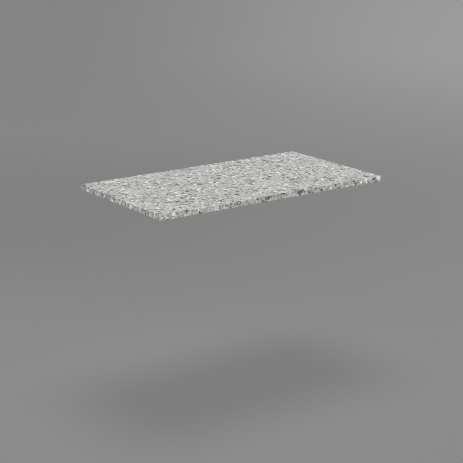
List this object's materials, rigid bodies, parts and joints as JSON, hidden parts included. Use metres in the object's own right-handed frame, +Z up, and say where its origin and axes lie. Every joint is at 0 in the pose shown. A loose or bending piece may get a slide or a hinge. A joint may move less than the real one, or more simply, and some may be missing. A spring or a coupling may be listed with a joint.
{
  "type": "granite slab",
  "caption": "Thin rectangular granite slab with a polished working face and eased edges, backed by a resin-bonded mesh and a ribbed rubber mat, for leatherwork on a bench.",
  "frame": {"origin": "centre of the footprint, in the plane the slab rests on (the underside of the mat's ribs)", "axes": "+X along the slab's length, +Y along its width, +Z up out of the polished working face"},
  "size_m": [0.61, 0.33, 0.0162],
  "materials": {
    "granite": "light grey granite with grey, white and black grains; working face polished, sides honed",
    "mesh_resin": "cloudy cured resin over white glass-fibre scrim",
    "adhesive": "clear amber transfer adhesive",
    "rubber": "matt black sheet rubber, fine ribs underneath"
  },
  "bodies": {
    "root": {"granite_slab": "granite", "mesh_backing": "mesh_resin", "adhesive_film": "adhesive", "rubber_mat": "rubber"}
  },
  "joints": []
}
